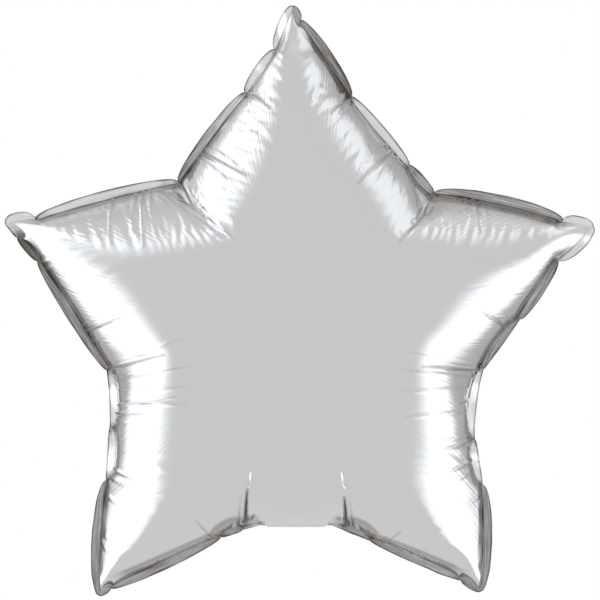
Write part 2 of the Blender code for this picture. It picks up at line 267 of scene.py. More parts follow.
def seam_side(first, last):
    """One of the ten sides of the seam: its points, the distance along it, and its pinches."""
    tip, notch = (first, last) if first in TIPS else (last, first)
    names = ("neck_right", "neck_left") if notch == "foot" else (notch,)
    tip, notch, lobes = next(edge for edge in EDGES if edge[0] == tip and edge[1] in names)
    places = edge_places(lobes)
    line = edge_line(tip, notch, lobes, places, SEAM_INSET, SEAM_SWELL)
    run = distances(line)
    pinches = [(np.interp(lobe[0], places, run), PINCH_FILM) for lobe in lobes[:-1]]
    if notch.startswith("neck"):
        line = np.vstack([line, (math.copysign(FOOT_HALF, line[-1, 0]), FOOT_SEAM), (0, FOOT_SEAM)])
        run = distances(line)
        pinches.append(((run[-3] + run[-2]) / 2, FOOT_PINCH_FILM))
    if first not in TIPS:
        line, pinches = line[::-1], [(run[-1] - place, film) for place, film in reversed(pinches)]
        run = distances(line)
    return line, run, pinches


SEAM_SIDES = [seam_side(name, WEDGE_CORNERS[(i + 1) % WEDGES]) for i, name in enumerate(WEDGE_CORNERS)]


def flat_side(wedge):
    """One side of the flat cut, from the same two corners."""
    names = WEDGE_CORNERS[wedge], WEDGE_CORNERS[(wedge + 1) % WEDGES]
    ends = []
    for name in names:
        place = np.array([0, FOOT_SEAM]) if name == "foot" else inset_corner(name, SEAM_INSET)
        ends.append(place * (FLAT_TIP if name in TIPS else FLAT_NOTCH))
    if "foot" not in names:
        return np.array(ends)
    tip, foot = ends if names[1] == "foot" else ends[::-1]
    knee = tip + (foot - tip) * (1 - FLAT_FOOT_HALF / abs(tip[0]))
    line = np.array([tip, knee, (0, knee[1])])
    return line if names[1] == "foot" else line[::-1]


class WedgeNet:
    """A film's net: ten wedges from the centre to the ten sides of the star, each a triangle of points
    [wedge, ring, step] with step from 0 to ring. Neighbouring wedges share a row of points."""

    LINKS = (  # along the ring, straight out and slantwise out: the two ends of each kind of link
        ((slice(None), slice(0, -1)), (slice(None), slice(1, None))),
        ((slice(0, -1), slice(None)), (slice(1, None), slice(None))),
        ((slice(0, -1), slice(0, -1)), (slice(1, None), slice(1, None))),
    )

    def __init__(self, rings):
        self.rings = rings
        ring, step = np.mgrid[0 : rings + 1, 0 : rings + 1]
        self.inside = step <= ring
        share = np.minimum(step / np.maximum(ring, 1), 1)
        self.flat = np.zeros((2, WEDGES, rings + 1, rings + 1))
        self.side_lengths = []
        for wedge in range(WEDGES):
            line = flat_side(wedge)
            run = distances(line)
            self.side_lengths.append(run[-1])
            for axis in (0, 1):
                self.flat[axis, wedge] = ring / rings * np.interp(share * run[-1], run, line[:, axis])
        self.lengths, self.stiffness = [], []
        for low, high in self.LINKS:
            gap = self.flat[(..., *high)] - self.flat[(..., *low)]
            self.lengths.append(np.sqrt((gap * gap).sum(0)).astype(np.float32))
            self.stiffness.append((self.inside[low] & self.inside[high]).astype(np.float32))
        # Links on a row that two wedges share count half in each.
        self.stiffness[1][:, 0] *= 0.5
        self.stiffness[2][np.arange(rings), np.arange(rings)] *= 0.5
        depth = (1 - np.arange(rings + 1) / rings) * STAR_DEPTH_SCALE
        self.lengths[0] *= (1 + GATHER * np.exp(-depth / GATHER_DEPTH)).astype(np.float32)[None, :, None]
        self.outer_triangles = self.inside[:-1, :-1].astype(np.float32)
        self.inner_triangles = (step < ring)[:-1, :-1].astype(np.float32)
        links = np.zeros((1, WEDGES, rings + 1, rings + 1), np.float32)
        for (low, high), stiffness in zip(self.LINKS, self.stiffness):
            links[(..., *low)] += stiffness
            links[(..., *high)] += stiffness
        self.join(links)
        self.link_counts = np.maximum(links, 1)

    def join(self, values):
        """Add up what neighbouring wedges hold for the points that they share."""
        along = np.arange(self.rings + 1)
        centre = values[:, :, 0, 0].sum(1, keepdims=True)
        total = values[:, :, :, 0] + np.roll(values[:, :, along, along], 1, axis=1)
        values[:, :, :, 0] = total
        values[:, :, along, along] = np.roll(total, -1, axis=1)
        values[:, :, 0, 0] = centre

    def spaced(self):
        """Distances along the seam at even steps."""
        return np.array([np.linspace(0, run[-1], self.rings + 1) for _, run, _ in SEAM_SIDES])

    def on_seam(self, places):
        """X and Z of points of the seam at these distances along its sides."""
        sides = [(row, run, line.T) for row, (line, run, _) in zip(places, SEAM_SIDES)]
        return np.array([[np.interp(row, run, line[axis]) for row, run, line in sides] for axis in (0, 1)])

    def pinched(self, places):
        """Draw the seam together at its pinches, and return where these are along each side (0 to 1)."""
        shares = np.linspace(0, 1, self.rings + 1)
        drawn, marks = places.copy(), []
        for wedge, (_, _, pinches) in enumerate(SEAM_SIDES):
            free, tight, found = [0.0], [0.0], []
            for place, film in pinches:
                mark = float(np.interp(place, places[wedge], shares))
                half = film / 2 / self.side_lengths[wedge]
                gap = PINCH_GAP / self.side_lengths[wedge]
                free += [max(mark - half, free[-1] + 1e-4), mark + half]
                tight += [mark - gap, mark + gap]
                found.append(mark)
            drawn[wedge] = np.interp(np.interp(shares, [*free, 1.0], [*tight, 1.0]), shares, places[wedge])
            marks.append(found)
        return drawn, marks

    def hold(self, film, places):
        """Put the outer ring on the seam, in the plane between the two films."""
        film[0, :, -1], film[2, :, -1] = self.on_seam(places)
        film[1, :, -1] = 0

    def dome(self):
        """A first guess: the flat star drawn in to the seam and raised to a dome towards -Y."""
        rim = self.flat[:, :, -1].reshape(2, -1)
        pull = self.on_seam(self.spaced()).reshape(2, -1) - rim
        points = self.flat.reshape(2, -1)
        gaps = np.linalg.norm(points[:, :, None] - rim[:, None, :], axis=0)
        weights = 1 / (gaps**3 + 1e-12)
        weights /= weights.sum(1, keepdims=True)
        film = np.zeros((3, *self.flat.shape[1:]), np.float32)
        film[[0, 2]] = (points + (weights @ pull.T).T).reshape(self.flat.shape)
        ring = np.arange(self.rings + 1) / self.rings
        film[1] = -START_DEPTH * np.sqrt(1 - ring * ring)[None, :, None]
        self.hold(film, self.spaced())
        return film

    def refine(self, film):
        """The same film on a net twice as fine."""
        size = 2 * self.rings + 1
        fine = np.zeros((3, WEDGES, size, size), np.float32)
        fine[..., 0::2, 0::2] = film
        fine[..., 1::2, 0::2] = (film[..., :-1, :] + film[..., 1:, :]) / 2
        fine[..., 1::2, 1::2] = (film[..., :-1, :-1] + film[..., 1:, 1:]) / 2
        fine[..., 0::2, 1::2] = (film[..., :, :-1] + film[..., :, 1:]) / 2
        return fine

    def unevenness(self, film):
        """How far each point is from the middle of its neighbours."""
        total = np.zeros_like(film)
        for (low, high), stiffness in zip(self.LINKS, self.stiffness):
            gap = (film[(..., *high)] - film[(..., *low)]) * stiffness
            total[(..., *low)] += gap
            total[(..., *high)] -= gap
        self.join(total)
        return total / self.link_counts

    def forces(self, film, pressed_stiffness):
        """Pull of the links and push of the gas on every point."""
        total = np.zeros_like(film)
        gaps = [film[(..., *high)] - film[(..., *low)] for low, high in self.LINKS]
        for gap, length, stiffness, (low, high) in zip(gaps, self.lengths, self.stiffness, self.LINKS):
            now = np.maximum(np.sqrt(gap[0] * gap[0] + gap[1] * gap[1] + gap[2] * gap[2]), 1e-7)
            over = now - length
            over = np.where(over > 0, over, pressed_stiffness * over)
            pull = gap * (stiffness * over / now)
            total[(..., *low)] += pull
            total[(..., *high)] -= pull
        ringwise, outwards, slant = gaps[0][..., :-1, :], gaps[1][..., :, :-1], gaps[2]
        size = self.rings
        for first, second, real, corners in (
            (outwards, slant, self.outer_triangles, ((0, 0), (1, 0), (1, 1))),
            (slant, ringwise, self.inner_triangles, ((0, 0), (1, 1), (0, 1))),
        ):
            push = np.empty_like(slant)
            push[0] = first[1] * second[2] - first[2] * second[1]
            push[1] = first[2] * second[0] - first[0] * second[2]
            push[2] = first[0] * second[1] - first[1] * second[0]
            push *= real * np.float32(-PRESSURE / 6)
            for ring, step in corners:
                total[..., ring : ring + size, step : step + size] += push
        self.join(total)
        return total - STIFFNESS_AGAINST_BENDING * self.unevenness(self.unevenness(film))

    def settle(self, film, places, steps, pressed_stiffness, slides):
        """Let the film come to rest under pressure."""
        speed = np.zeros_like(film)
        slide_speed = np.zeros_like(places)
        for _ in range(steps):
            force = self.forces(film, pressed_stiffness)
            if slides:
                rim = film[[0, 2], :, -1]
                along = np.zeros_like(rim)
                along[:, :, 1:-1] = rim[:, :, 2:] - rim[:, :, :-2]
                along /= np.maximum(np.sqrt((along * along).sum(0)), 1e-9)
                slide_speed = (slide_speed + (force[[0, 2], :, -1] * along).sum(0) * TIME_STEP) * DAMPING
                slide_speed[:, [0, -1]] = 0
                places = np.maximum.accumulate(places + slide_speed * TIME_STEP, axis=1)
                places = np.minimum(places, places[:, -1:])
            speed = (speed + force * np.float32(TIME_STEP)) * np.float32(DAMPING)
            speed[:, :, -1] = 0
            film = film + speed * np.float32(TIME_STEP)
            behind = film[1] > 0
            film[1][behind] = 0
            speed[1][behind] = 0
            if slides:
                self.hold(film, places)
        return film, places

    def ruffle(self, film, marks, seed, noise):
        """Small random dents, and a valley running in from each pinch, for the puckers to start from."""
        size = self.rings + 1
        dents = np.random.default_rng(seed).random((1, WEDGES, size, size)).astype(np.float32)
        self.join(dents)
        film[1, :, :-1] -= np.float32(noise) * dents[0, :, :-1]
        ring, step = np.mgrid[0:size, 0:size]
        inwards = (1 - ring / self.rings) * STAR_DEPTH_SCALE / VALLEY_LENGTH
        for wedge, found in enumerate(marks):
            for mark in found:
                across = (step / np.maximum(ring, 1) - mark) * self.side_lengths[wedge] / VALLEY_WIDTH
                dip = VALLEY_DEPTH * np.exp(-across * across) * np.exp(-inwards) * (ring < self.rings)
                film[1, wedge] = np.minimum(film[1, wedge] + dip, 0)

    def numbering(self):
        """A number for each different point, -1 outside the wedges."""
        numbers = np.full((WEDGES, self.rings + 1, self.rings + 1), -1)
        numbers[:, 0, 0] = 0
        count = 1
        for ring in range(1, self.rings + 1):
            steps = np.arange(ring)
            for wedge in range(WEDGES):
                numbers[wedge, ring, :ring] = count + wedge * ring + steps
            numbers[:, ring, ring] = np.roll(numbers[:, ring, 0], -1)
            count += WEDGES * ring
        return numbers, count


def finer_places(places, rings):
    """The seam distances of a net half as fine, on a net of this many rings."""
    coarse = np.arange(places.shape[1])
    return np.array([np.interp(np.arange(rings + 1) / 2, coarse, row) for row in places])


def inflated(stages, fine_stage, seeds):
    """The finest net, its calm film, and for each seed a film with puckers of its own."""
    film = places = net = None
    for rings, steps in stages:
        finer = WedgeNet(rings)
        film = finer.dome() if film is None else net.refine(film)
        places = finer.spaced() if places is None else finer_places(places, rings)
        finer.hold(film, places)
        film, places = finer.settle(film, places, steps, CALM_STIFFNESS, True)
        net = finer
    rings, steps = fine_stage
    finer = WedgeNet(rings)
    places = SLIDE_SHARE * finer_places(places, rings) + (1 - SLIDE_SHARE) * finer.spaced()
    places, marks = finer.pinched(places)
    start = net.refine(film)
    films = []
    puckered = [(seed, NOISE, PUCKERED_STIFFNESS) for seed in seeds]
    for seed, dents, stiffness in [(0, 0, CALM_STIFFNESS), *puckered]:
        film = start.copy()
        finer.hold(film, places)
        finer.ruffle(film, marks, seed, dents)
        films.append(finer.settle(film, places, steps, stiffness, False)[0])
    return finer, films[0], films[1:]


def soft(value, low, high):
    """0 below low, 1 above high, and smooth between them."""
    share = np.clip((value - low) / (high - low), 0, 1)
    return share * share * (3 - 2 * share)


def finished(net, calm, puckered):
    """The calm film with a share of the puckers, eased."""
    inwards = (1 - np.arange(net.rings + 1) / net.rings) * SEAM_TO_CENTRE
    share = PUCKERS_AT_SEAM + (PUCKERS_INSIDE - PUCKERS_AT_SEAM) * soft(inwards, *PUCKERS_GROW)
    free = np.ones((WEDGES, net.rings + 1, net.rings + 1), np.float32)
    free[:, -1] = 0
    calmed = np.zeros_like(free)
    for name, reach in CALM_PLACES.items():
        place = inset_corner(name, SEAM_INSET)
        gap = np.sqrt(((calm[[0, 2]] - place[:, None, None, None]) ** 2).sum(0))
        calmed = np.maximum(calmed, 1 - soft(gap, *reach))
    calmed *= free
    base = calm.copy()
    for rounds, where in ((EASING_ROUNDS, free), (CALM_ROUNDS, calmed)):
        for _ in range(rounds):
            base += np.float32(EASING_STEP) * where * net.unevenness(base)
    strength = np.array(RIPPLE_SHARES)[:, None, None]
    amount = LEAST_PUCKERS + (1 - LEAST_PUCKERS) * strength
    base = base + share[:, None] * amount * (1 - calmed) * (puckered - calm)

    steps = np.arange(net.rings + 1)
    ends = np.array([flat_side(wedge)[[0, -1]] for wedge in range(WEDGES)])
    lengths = np.linalg.norm(ends[:, 1] - ends[:, 0], axis=1)
    from_first = steps[None, None, :] / net.rings * lengths[:, None, None]
    from_last = (steps[None, :, None] - steps[None, None, :]) / net.rings * lengths[:, None, None]
    near_end = soft(np.minimum(from_first, from_last), 0, RIPPLES_END_BEFORE)
    along = (ends[:, 1] - ends[:, 0]) / lengths[:, None]
    run = base[0] * along[:, 0, None, None] + base[2] * along[:, 1, None, None]
    wave = sum(depth * np.sin(2 * math.pi * run / length + place) for length, depth, place in SEAM_RIPPLES)
    band = soft(inwards, *RIPPLES_GROW) * (1 - soft(inwards, *RIPPLES_FADE))
    base[1] += wave * strength * near_end * band[:, None] * (net.inside[None] > 0)
    return base


def fold_places(points):
    """For every fold: its depth, and how far each point lies along it and to its side, in mm."""
    flat = points[:, [0, 2]] * 1000
    for x0, z0, x1, z1, deep in FOLDS:
        along = np.array([x1 - x0, z1 - z0])
        length = np.linalg.norm(along)
        along = along / length
        away = flat - (x0, z0)
        yield deep, away @ along / length, np.abs(away @ np.array([-along[1], along[0]]))


def folded(points, normals):
    """Press the folds into a film: each is a valley between two low shoulders, deepest at the seam. Also
    how much painted shade each point gets in the folds' valleys."""
    depth, painted_crease_shade = np.zeros(len(points)), np.zeros(len(points))
    for deep, run, across in fold_places(points):
        fade = np.clip(1 - run, 0, 1) ** FOLD_TAPER * soft(run, -FOLD_LEAD, 0)
        width = across / (FOLD_HALF_WIDTH * 1000)
        shape = np.exp(-width * width) - FOLD_SHOULDER * np.exp(-((width - FOLD_SHOULDER_AT) ** 2))
        depth += deep / 1000 * shape * fade
        shade_width = (FOLD_SHADE_WIDTH + FOLD_SHADE_GROWTH * deep) * 1000
        shade = np.exp(-((across / shade_width) ** 2))
        # Painted shade in the fold's valley, where shade falls.
        line_shade = (max(deep, 0) / FOLD_SHADE_FULL) ** FOLD_SHADE_POWER * shade * fade**FOLD_SHADE_TAPER
        painted_crease_shade = np.maximum(painted_crease_shade, line_shade)
    depth *= soft(np.abs(points[:, 1]), 0, FOLD_STARTS_WITHIN)
    return points - normals * depth[:, None], np.minimum(painted_crease_shade, 1)


# Painted shade beside the seam, a painted dark reflection of the steep film there: how far into the film it
# reaches on each edge of the table above, in mm, and how far round each point the seam is looked for. Beside
# the neck it reaches further; at the foot and at the tips there is none. It is full up to a share of its
# reach.
SEAM_SHADE_REACH = (5.0, 8.0, 5.0, 5.0, 7.5, 8.5, 5.5, 5.5, 5.0, 3.5)
SEAM_SHADE_SEARCH = 0.04
SEAM_SHADE_FULL = 0.72
NECK_SHADE_AT, NECK_SHADE_HALF, NECK_SHADE_REACH = 0.043, 0.016, 0.0055
SEAM_SHADE_SPARES_FOOT, SEAM_SHADE_SPARES_TIP = (FOOT_HALF, FOOT_HALF + 0.007), (0.012, 0.030)
# The comb of the finest puckers: where it grows and fades, as distances from the seam, and how it stays off
# the middle of the arms, as shares of the way from the tip to the notch.
COMB_GROWS, COMB_FADES = (0.002, 0.006), (0.012, 0.056)
COMB_SPARES_ARM = (0.06, 0.26)


def give(mesh, name, values, kind="FLOAT"):
    """Keep values for the mesh's points under a name that materials and nodes read."""
    field = "value" if kind == "FLOAT" else "vector"
    mesh.attributes.new(name, kind, "POINT").data.foreach_set(field, values.astype(np.float32).ravel())


def loop_points(mesh):
    """The point that each corner of a face stands on."""
    loops = np.zeros(len(mesh.loops), int)
    mesh.loops.foreach_get("vertex_index", loops)
    return loops


def map_to_seam(mesh, places):
    """The UV map: for each corner of a face, metres along the seam and in or out from it."""
    mesh.uv_layers.new(name="seam_uv").data.foreach_set("uv", places.astype(np.float32).ravel())


def film_shape(net, film, side):
    """Points and triangles of a film, and the number of each point of the net."""
    numbers, count = net.numbering()
    points = np.zeros((count, 3))
    points[numbers[:, net.inside]] = np.moveaxis(film[:, :, net.inside], 0, -1)
    points[:, 1] *= -side
    if side < 0:
        below = np.clip((FOOT_SEAM + FOOT_DROP_REACH - points[:, 2]) / FOOT_DROP_REACH, 0, 1) ** 2
        drop = below * (1 - soft(np.abs(points[:, 0]), *FOOT_DROP_ENDS))
        points[:, 2] -= FOOT_DROP * drop
        points[:, 1] -= FOOT_DROP_FORWARD * drop
    ring, step = np.nonzero(np.tri(net.rings, dtype=bool))
    low_ring, low_step = np.nonzero(np.tri(net.rings, k=-1, dtype=bool))
    faces = []
    for grid in numbers:
        faces.append(np.stack([grid[ring, step], grid[ring + 1, step], grid[ring + 1, step + 1]], 1))
        low = grid[low_ring, low_step], grid[low_ring + 1, low_step + 1], grid[low_ring, low_step + 1]
        faces.append(np.stack(low, 1))
    return points, np.vstack(faces)[:, ::-side], numbers


def mark_film(mesh, net, film, points, numbers):
    """The film's UV map, where it is combed, and where it has painted shade beside the seam."""
    rings_in, steps_in = np.nonzero(net.inside)
    share = steps_in / np.maximum(rings_in, 1)
    depth, along, reach, comb = (np.zeros(len(points)) for _ in range(4))
    loops = loop_points(mesh).reshape(WEDGES, -1)
    seam_uv = np.zeros((*loops.shape, 2))
    for wedge, grid in enumerate(numbers):
        here = grid[net.inside]
        depth[here] = (1 - rings_in / net.rings) * SEAM_TO_CENTRE
        along[here] = (wedge + share) * net.side_lengths[wedge]
        reach[here] = SEAM_SHADE_REACH[wedge] / 1000
        comb[here] = soft(1 - share if wedge % 2 else share, *COMB_SPARES_ARM)
        seam_uv[wedge] = np.stack([along[loops[wedge]], depth[loops[wedge]]], 1)
    map_to_seam(mesh, seam_uv)
    give(mesh, "comb", comb * (soft(depth, *COMB_GROWS) * (1 - soft(depth, *COMB_FADES))))

    sideways, low = np.abs(points[:, 0]), points[:, 2] < FOOT_HEIGHT
    reach += NECK_SHADE_REACH * np.exp(-(((sideways - NECK_SHADE_AT) / NECK_SHADE_HALF) ** 2)) * low
    seam = KDTree(WEDGES * (net.rings + 1))
    for x, z in film[[0, 2], :, -1].reshape(2, -1).T:
        seam.insert((x, 0, z), 0)
    seam.balance()
    gap = np.full(len(points), 1.0)
    for index in np.nonzero(depth < SEAM_SHADE_SEARCH)[0]:
        gap[index] = seam.find((points[index, 0], 0, points[index, 2]))[2]
    tips = np.array([inset_corner(tip, SEAM_INSET) for tip in sorted(TIPS)])
    from_tip = np.linalg.norm(points[:, None, [0, 2]] - tips, axis=2).min(1)
    spared = np.maximum(soft(sideways, *SEAM_SHADE_SPARES_FOOT), ~low)
    # Painted shade beside the seam: a painted dark reflection of the steep film next to it.
    seam_shade = (1 - soft(gap, SEAM_SHADE_FULL * reach, reach)) * spared * soft(from_tip, *SEAM_SHADE_SPARES_TIP)
    give(mesh, "seam_shade", seam_shade)


def press_folds(mesh, middles):
    """Mesh the film twice as fine where it is folded, from the middles of its faces, and press the folds."""
    fine = np.zeros(len(middles), bool)
    for deep, run, across in fold_places(middles):
        if abs(deep) >= FOLD_FINE_FROM:
            fine |= (across < FOLD_FINE_WIDTH * 1000) & (run > -FOLD_FINE_LEAD) & (run < 1)
    shape = bmesh.new()
    shape.from_mesh(mesh)
    shape.faces.ensure_lookup_table()
    cut = sorted({edge.index for index in np.nonzero(fine)[0] for edge in shape.faces[int(index)].edges})
    shape.edges.ensure_lookup_table()
    bmesh.ops.subdivide_edges(shape, edges=[shape.edges[index] for index in cut], cuts=1, use_grid_fill=True)
    bmesh.ops.triangulate(shape, faces=[face for face in shape.faces if len(face.verts) > 3])
    shape.to_mesh(mesh)
    shape.free()
    mesh.shade_smooth()
    points, normals = np.zeros(3 * len(mesh.vertices)), np.zeros(3 * len(mesh.vertices))
    mesh.vertices.foreach_get("co", points)
    mesh.vertex_normals.foreach_get("vector", normals)
    points, painted_crease_shade = folded(points.reshape(-1, 3), normals.reshape(-1, 3))
    mesh.vertices.foreach_set("co", points.ravel())
    # The painted shade in the folds' valleys, kept for the film's material.
    give(mesh, "crease_shade", painted_crease_shade)
    mesh.update()


def film_piece(name, net, film, side):
    """A film as one sheet. Side is -1 at the front and 1 at the back."""
    points, faces, numbers = film_shape(net, film, side)
    mesh = bpy.data.meshes.new(name)
    mesh.from_pydata(points.tolist(), [], faces.tolist())
    mark_film(mesh, net, film, points, numbers)
    press_folds(mesh, points[faces].mean(1))
    return placed(name, mesh)


def feed(tree, node, inputs):
    """Give a node's inputs plain values or other nodes' outputs."""
    for name, value in inputs.items():
        if isinstance(value, bpy.types.NodeSocket):
            tree.links.new(value, node.inputs[name])
        else:
            node.inputs[name].default_value = value


def add(tree, kind, output, inputs, **settings):
    """Add a node with these inputs and settings, and return its output of this name."""
    made = tree.nodes.new(kind)
    for name, value in settings.items():
        setattr(made, name, value)
    feed(tree, made, inputs)
    return made.outputs[output]


def maths(tree, operation, *values, **settings):
    return add(tree, "ShaderNodeMath", "Value", dict(enumerate(values)), operation=operation, **settings)


def read(tree, name):
    """What the mesh holds under a name."""
    return add(tree, "ShaderNodeAttribute", "Fac", {}, attribute_name=name)


def noise(tree, scale, detail, place):
    return add(tree, "ShaderNodeTexNoise", "Fac", {"Scale": scale, "Detail": detail, "Vector": place})


def seam_noise(tree, scale, detail):
    """Noise that is stretched along or across the seam."""
    place = add(tree, "ShaderNodeUVMap", "UV", {}, uv_map="seam_uv")
    return noise(tree, 1, detail, add(tree, "ShaderNodeMapping", "Vector", {"Scale": scale, "Vector": place}))


def between(tree, share, low, high, low_share=0, high_share=1):
    """A number from low to high as the share goes from one value to another."""
    inputs = {"Value": share, "From Min": low_share, "From Max": high_share, "To Min": low, "To Max": high}
    return add(tree, "ShaderNodeMapRange", "Result", inputs)


def mixed(tree, share, first, second):
    """A colour between two."""
    first = first if isinstance(first, bpy.types.NodeSocket) else (*first, 1)
    inputs = {"Factor": share, "A": first, "B": (*second, 1)}
    return add(tree, "ShaderNodeMix", "Result", inputs, data_type="RGBA")


def bumped(tree, height, strength, distance, **normal):
    inputs = {"Height": height, "Strength": strength, "Distance": distance, **normal}
    return add(tree, "ShaderNodeBump", "Normal", inputs)


def new_material(name):
    made = bpy.data.materials.new(name)
    made.use_nodes = True
    return made, made.node_tree


def finish(made, **inputs):
    """Give the material's shader these inputs, in which an underscore stands for a space."""
    inputs = {name.replace("_", " "): value for name, value in inputs.items()}
    feed(made.node_tree, made.node_tree.nodes["Principled BSDF"], inputs)
    return made


# The film's own colour, and the darker colours of its painted shade beside the seam and in the folds'
# valleys.
FILM_COLOUR, SEAM_SHADE_COLOUR, CREASE_SHADE_COLOUR = (0.80, 0.80, 0.802), (0.44, 0.42, 0.407), (0.04, 0.036, 0.033)
FILM_ROUGHNESS = (0.11, 0.17)
HAZE_SCALE, HAZE_FROM, HAZE_TO = 22, 0.3, 0.7
CRINKLE_SIZE, CRINKLE_DEPTH = 0.0035, 0.00003
COMB_SPACING, COMB_LENGTH, COMB_DEPTH = 0.0026, 0.060, 0.0003


def mirror_film():
    """Metallised film: a mirror behind clear nylon, faintly crinkled, with hazy patches from handling. Its
    finest puckers are a bump, and its colour has painted shade in the folds' valleys and beside the seam."""
    made, tree = new_material("silver_film")
    place = add(tree, "ShaderNodeTexCoord", "Object", {})
    # Painted shade beside the seam in the film's colour; painted shade in the folds' valleys is mixed in
    # below.
    seam_shaded = mixed(tree, read(tree, "seam_shade"), FILM_COLOUR, SEAM_SHADE_COLOUR)
    haze = noise(tree, HAZE_SCALE, 3, place)
    crinkled = bumped(tree, noise(tree, 1 / CRINKLE_SIZE, 2, place), 0.5, CRINKLE_DEPTH)
    comb = seam_noise(tree, (1 / COMB_SPACING, 1 / COMB_LENGTH, 1), 0.5)
    comb = maths(tree, "MULTIPLY", comb, read(tree, "comb"))
    return finish(
        made,
        Metallic=1,
        Base_Color=mixed(tree, read(tree, "crease_shade"), seam_shaded, CREASE_SHADE_COLOUR),
        Roughness=between(tree, haze, *FILM_ROUGHNESS, HAZE_FROM, HAZE_TO),
        Normal=bumped(tree, comb, 1, COMB_DEPTH, Normal=crinkled),
    )


silver = mirror_film()
net, calm_film, puckered_films = inflated(
    COARSE_STAGES,
    FINE_STAGE,
    (FRONT_SEED, BACK_SEED),
)
films = [finished(net, calm_film, puckered) for puckered in puckered_films]
for name, film, side, node in zip(("front_film", "back_film"), films, (-1, 1), ("front_panel", "back_panel")):
    piece = film_piece(name, net, film, side)
    piece.data.materials.append(silver)
    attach(piece, "envelope")
    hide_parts(node)

# The weld margin: both films pressed together by the hot bar and cut off a few millimetres outside the
# seal. It ripples and leans to and fro between the pinches, and its cut edge has a fine melted bead.
MARGIN_PLACES_PER_LOBE, FOOT_PLACES = 30, 27
FLAT_STEPS = 8
WELD_OVERLAP, WELD_HALF = 0.0004, 0.0002
BEAD_WIDTH, BEAD_HALF = 0.0007, 0.00032
# The bead's section: shares of its width in from the cut edge, and of its half thickness there.
BEAD_IN, BEAD_THICK = (0.72, 0.35, 0.06), (0.92, 1, 0.45)
# For each edge of the table above, each lobe from the tip: its lean to the back (as a slope, to the front
# when negative), and how much painted shade (a painted dark reflection) the weld's colour has at its near and
# far end, from 0 to 1.
LOBE_LEANS_AND_SHADES = (
    ((0.1, 0.5, 0.5), (0.25, 0.6, 1.0), (0.3, 0.0, 0.0), (0.1, 0.45, 0.5)),
    ((0.6, -0.1, 0.0), (0.15, 0.5, 0.6)),
    ((0.5, 0.0, 0.2), (0.2, 0.65, 0.6), (0.1, 0.6, 0.6)),
    ((0.15, 0.65, 0.6), (0.7, 0.0, 0.0), (0.7, 0.0, 0.0)),
    ((0.1, 0.7, 0.6), (0.2, 0.55, 0.65), (0.1, 0.6, 0.6)),
    ((0.1, 0.6, 0.6), (0.15, 0.55, 0.65), (0.1, 0.6, 0.6)),
    ((0.15, 0.7, 0.55), (0.7, 0.0, 0.0), (0.7, 0.0, 0.1)),
    ((0.4, 0.0, 0.9), (0.2, 1.2, 0.9), (0.2, 0.8, 0.65)),
    ((0.5, 0.0, 0.0), (-0.15, -0.1, 0.1)),
    ((0.6, 0.0, 0.0), (0.5, 0.0, 0.1), (0.3, 0.1, 0.8)),
)
# The weld's colour has painted shade at its cut edge, at its inner edge and at the pinches: how far each
# reaches, and how dark it is. At the tips there is less of the inner one.
EDGE_SHADE, INNER_SHADE, PINCH_SHADE = 0.0009, 0.0007, 0.0045
EDGE_DARKNESS, INNER_DARKNESS, PINCH_DARKNESS = 1.1, 0.8, 0.6
INNER_SHADE_SPARES_TIP, INNER_SHADE_AT_TIP = (0.012, 0.024), 0.3
# Ripples of the margin: wavelength, slope and place of each along the outline; then a curl of its outer
# part. Beside the foot, up to this far from its middle and below this height, both are calmer.
RIPPLES = ((0.047, 0.07, 0.4), (0.031, 0.09, 2.1), (0.0193, 0.07, 5.2), (0.0117, 0.05, 1.3))
CURL_LENGTH, CURL_SIZE, CURL_PLACE = 0.026, 0.12, 0.7
CALM_FOOT_HALF, CALM_FOOT_BELOW, CALM_FOOT_SHARE = 0.045, -0.14, 0.15


def margin_stations():
    """Seam point, cut edge point, lean and painted shade at each station, clockwise from the top."""
    stations = []
    for index, ((tip, notch, lobes), leans_and_shades) in enumerate(zip(EDGES, LOBE_LEANS_AND_SHADES)):
        places = edge_places(lobes, MARGIN_PLACES_PER_LOBE)
        seam = edge_line(tip, notch, lobes, places, SEAM_INSET, SEAM_SWELL)
        cut = edge_line(tip, notch, lobes, places, 0, 0)
        ends, lobe, across = lobe_shares(lobes, places)
        lean, near, far = np.array(leans_and_shades)[lobe].T
        lean = lean * 4 * across * (1 - across)
        run = distances(cut)
        from_pinch = np.abs(run[:, None] - np.interp(ends[1:], places, run)).min(1)
        # Painted shade in the weld's colour along each lobe, with more painted shade at the pinches.
        dark = near + (far - near) * across
        dark += PINCH_DARKNESS * (1 - dark) * np.exp(-((from_pinch / PINCH_SHADE) ** 2))
        rows = np.column_stack([seam, cut, lean, dark])
        if index % 2:
            rows = rows[::-1]
        stations.append(rows[:-1])
        if notch == "neck_right":
            x = np.linspace(FOOT_HALF, -FOOT_HALF, FOOT_PLACES)
            foot = np.column_stack([x, x * 0 + FOOT_SEAM, x, x * 0 + FOOT_EDGE, x * 0, x * 0])
            stations.append(np.vstack([rows[-1:], foot]))
    return np.vstack(stations)


stations = margin_stations()
seam_points, cut_points, leans, weld_shade = stations[:, :2], stations[:, 2:4], stations[:, 4], stations[:, 5]
around = distances(cut_points)
across = cut_points - seam_points
widths = np.linalg.norm(across, axis=1)
across /= widths[:, None]
from_middle, low = np.abs(seam_points[:, 0]), seam_points[:, 1] < CALM_FOOT_BELOW
foot_calm = np.where((from_middle < CALM_FOOT_HALF) & low, CALM_FOOT_SHARE, 1)
at_foot = (from_middle <= FOOT_HALF) & low
slopes = leans.copy()
for wavelength, slope, place in RIPPLES:
    slopes += slope * np.sin(2 * math.pi * around / wavelength + place)
slopes *= foot_calm
curls = CURL_SIZE * np.sin(2 * math.pi * around / CURL_LENGTH + CURL_PLACE) * foot_calm


